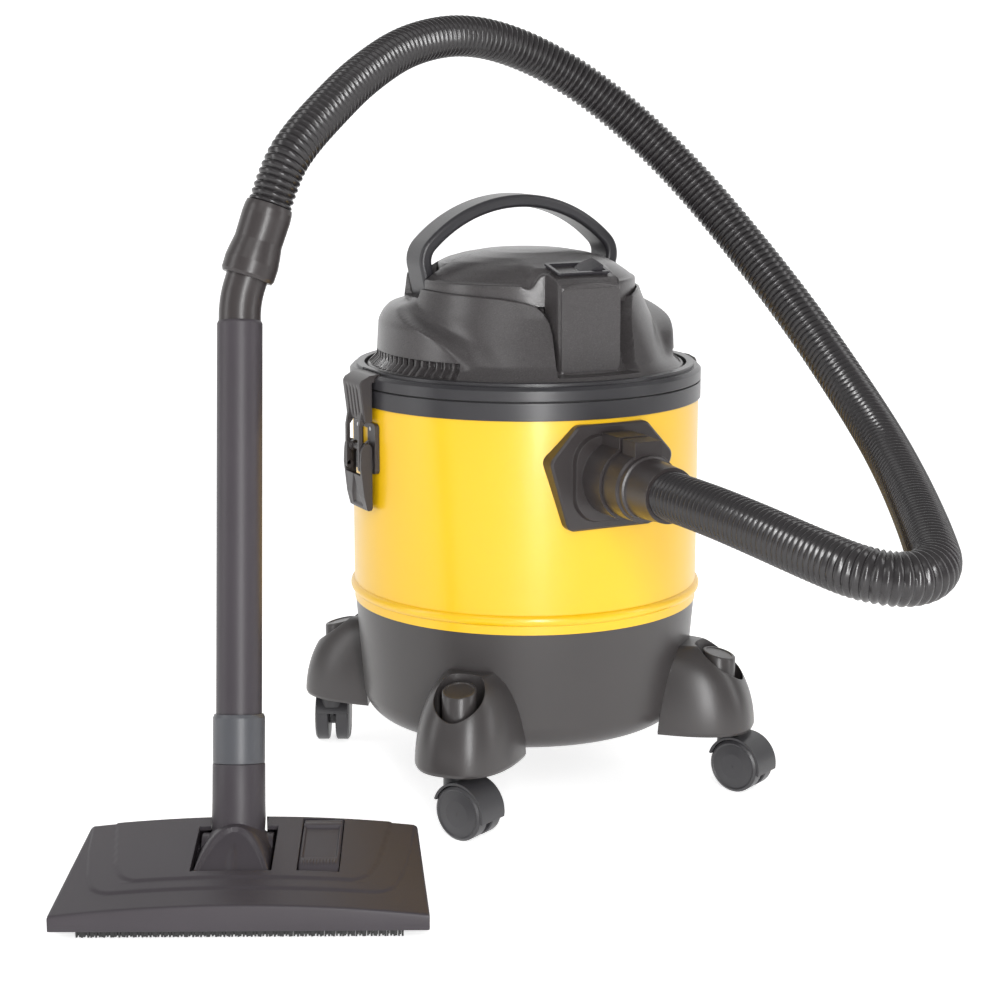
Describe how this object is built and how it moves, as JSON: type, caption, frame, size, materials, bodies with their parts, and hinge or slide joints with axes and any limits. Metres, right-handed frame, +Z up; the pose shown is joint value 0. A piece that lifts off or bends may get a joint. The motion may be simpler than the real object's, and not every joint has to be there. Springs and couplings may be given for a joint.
{
  "type": "shop vacuum",
  "caption": "Wet and dry shop vacuum: yellow steel drum on swivel casters, latched dark motor head with handle, ribbed hose, wand and floor nozzle.",
  "frame": {"origin": "centre of the footprint on the floor, measured without the hose", "axes": "+Z up, -Y the way the hose inlet faces, +X to the right seen from behind the inlet towards the drum; the nozzle and wand stand at -X"},
  "size_m": [0.7761, 0.7344, 0.7231],
  "materials": {
    "drum_paint": "gloss",
    "base_plastic": "satin",
    "head_plastic": "satin",
    "black_plastic": "gloss",
    "hose_plastic": "gloss",
    "wand_plastic": "satin",
    "wheel_plastic": "satin",
    "pin_steel": "satin",
    "seal_rubber": "matte",
    "filter_paper": "matte",
    "ball_plastic": "matte",
    "motor_metal": "satin",
    "bristle_nylon": "matte",
    "switch_plastic": "gloss"
  },
  "bodies": {
    "tank": {"tank_base": "base_plastic", "tank_shell": "drum_paint", "tank_rim": "base_plastic", "foot_screws": "pin_steel", "inlet_plate": "black_plastic", "inlet_deflector": "black_plastic", "hose_tank_cuff": "black_plastic", "suction_hose": "hose_plastic", "nozzle_cover": "wand_plastic", "nozzle_base": "wand_plastic", "nozzle_screws": "pin_steel", "latch_right_bracket": "black_plastic", "latch_left_bracket": "black_plastic", "latch_rivets": "pin_steel", "head_seal": "seal_rubber", "head_base": "head_plastic", "head_cover": "head_plastic", "head_cap": "head_plastic", "front_panel": "head_plastic", "handle": "head_plastic", "switch_frame": "switch_plastic", "motor_housing": "ball_plastic", "float_cage": "ball_plastic", "filter_cartridge": "filter_paper", "head_screws": "pin_steel", "cable_gland": "head_plastic", "foot_front_left": "base_plastic", "foot_front_right": "base_plastic", "foot_rear_right": "base_plastic", "foot_rear_left": "base_plastic"},
    "wand": {"nozzle_neck": "wand_plastic", "neck_sleeve": "wand_plastic", "wand_tube": "wand_plastic", "wand_elbow": "wand_plastic", "hose_wand_cuff": "wand_plastic"},
    "rotor": {"motor_rotor": "motor_metal"},
    "float": {"float_ball": "ball_plastic"},
    "rocker": {"switch_rocker": "switch_plastic"},
    "latch_right_lever": {"latch_right_lever": "black_plastic"},
    "latch_left_lever": {"latch_left_lever": "black_plastic"},
    "latch_right_hook": {"latch_right_hook": "black_plastic"},
    "latch_left_hook": {"latch_left_hook": "black_plastic"},
    "pedal": {"nozzle_pedal": "wand_plastic"},
    "brush": {"brush_carrier": "wand_plastic", "brush_bristles": "bristle_nylon"},
    "rollers": {"nozzle_rollers": "wheel_plastic"},
    "caster_front_left": {"caster_hood_front_left": "wheel_plastic", "caster_stem_and_axle_front_left": "pin_steel"},
    "wheels_front_left": {"caster_wheels_front_left": "wheel_plastic"},
    "caster_front_right": {"caster_hood_front_right": "wheel_plastic", "caster_stem_and_axle_front_right": "pin_steel"},
    "wheels_front_right": {"caster_wheels_front_right": "wheel_plastic"},
    "caster_rear_right": {"caster_hood_rear_right": "wheel_plastic", "caster_stem_and_axle_rear_right": "pin_steel"},
    "wheels_rear_right": {"caster_wheels_rear_right": "wheel_plastic"},
    "caster_rear_left": {"caster_hood_rear_left": "wheel_plastic", "caster_stem_and_axle_rear_left": "pin_steel"},
    "wheels_rear_left": {"caster_wheels_rear_left": "wheel_plastic"}
  },
  "joints": [
    {"name": "wand_lean", "type": "hinge", "parent": "tank", "child": "wand", "pos_m": [-0.1892, -0.1016, 0.03], "axis": [-0.8988, 0.4384, 0], "range_deg": [-10, 45], "deforming": ["suction_hose"]},
    {"name": "swivel_front_left", "type": "hinge", "parent": "tank", "child": "caster_front_left", "pos_m": [0.02984, -0.06456, 0.07], "axis": [0, 0, 1], "continuous": true},
    {"name": "roll_front_left", "type": "hinge", "parent": "caster_front_left", "child": "wheels_front_left", "pos_m": [0.0363, -0.0781, 0.025], "axis": [0.9026, 0.4305, 0], "continuous": true},
    {"name": "swivel_front_right", "type": "hinge", "parent": "tank", "child": "caster_front_right", "pos_m": [0.31976, -0.06456, 0.07], "axis": [0, 0, 1], "continuous": true},
    {"name": "roll_front_right", "type": "hinge", "parent": "caster_front_right", "child": "wheels_front_right", "pos_m": [0.32633, -0.07804, 0.025], "axis": [0.8988, 0.4384, 0], "continuous": true},
    {"name": "swivel_rear_right", "type": "hinge", "parent": "tank", "child": "caster_rear_right", "pos_m": [0.31976, 0.22536, 0.07], "axis": [0, 0, 1], "continuous": true},
    {"name": "roll_rear_right", "type": "hinge", "parent": "caster_rear_right", "child": "wheels_rear_right", "pos_m": [0.33125, 0.235, 0.025], "axis": [-0.6428, 0.766, 0], "continuous": true},
    {"name": "swivel_rear_left", "type": "hinge", "parent": "tank", "child": "caster_rear_left", "pos_m": [0.02984, 0.22536, 0.07], "axis": [0, 0, 1], "continuous": true},
    {"name": "roll_rear_left", "type": "hinge", "parent": "caster_rear_left", "child": "wheels_rear_left", "pos_m": [0.03677, 0.23866, 0.025], "axis": [-0.887, 0.4617, 0], "continuous": true},
    {"name": "lever_right", "type": "hinge", "parent": "tank", "child": "latch_right_lever", "pos_m": [0.3483, 0.0804, 0.332], "axis": [0, -1, 0], "range_deg": [0, 90]},
    {"name": "hook_right", "type": "hinge", "parent": "latch_right_lever", "child": "latch_right_hook", "pos_m": [0.3513, 0.0804, 0.314], "axis": [0, -1, 0], "range_deg": [-100, 0]},
    {"name": "lever_left", "type": "hinge", "parent": "tank", "child": "latch_left_lever", "pos_m": [0.0013, 0.0804, 0.332], "axis": [0, 1, 0], "range_deg": [0, 90]},
    {"name": "hook_left", "type": "hinge", "parent": "latch_left_lever", "child": "latch_left_hook", "pos_m": [-0.0017, 0.0804, 0.314], "axis": [0, 1, 0], "range_deg": [-100, 0]},
    {"name": "motor_spin", "type": "hinge", "parent": "tank", "child": "rotor", "pos_m": [0.1748, 0.0804, 0.42], "axis": [0, 0, 1], "continuous": true},
    {"name": "float_rise", "type": "slide", "parent": "tank", "child": "float", "axis": [0, 0, 1], "range_m": [0, 0.03]},
    {"name": "switch_rock", "type": "hinge", "parent": "tank", "child": "rocker", "pos_m": [0.1748, -0.01951, 0.49323], "axis": [0, 0.9703, 0.2419], "range_deg": [0, 24]},
    {"name": "pedal_rock", "type": "hinge", "parent": "tank", "child": "pedal", "pos_m": [-0.13418, -0.14961, 0.0408], "axis": [-0.8988, 0.4384, 0], "range_deg": [0, 8]},
    {"name": "brush_lift", "type": "slide", "parent": "tank", "child": "brush", "axis": [0, 0, 1], "range_m": [0, 0.005]},
    {"name": "roller_spin", "type": "hinge", "parent": "tank", "child": "rollers", "pos_m": [-0.17405, -0.09564, 0.008], "axis": [0.8988, -0.4384, 0], "continuous": true}
  ],
  "couplings": [
    {"joint": "hook_right", "follows": "lever_right", "ratio": -1.1},
    {"joint": "hook_left", "follows": "lever_left", "ratio": -1.1},
    {"joint": "brush_lift", "follows": "pedal_rock", "m_per_rad": 0.035774}
  ]
}
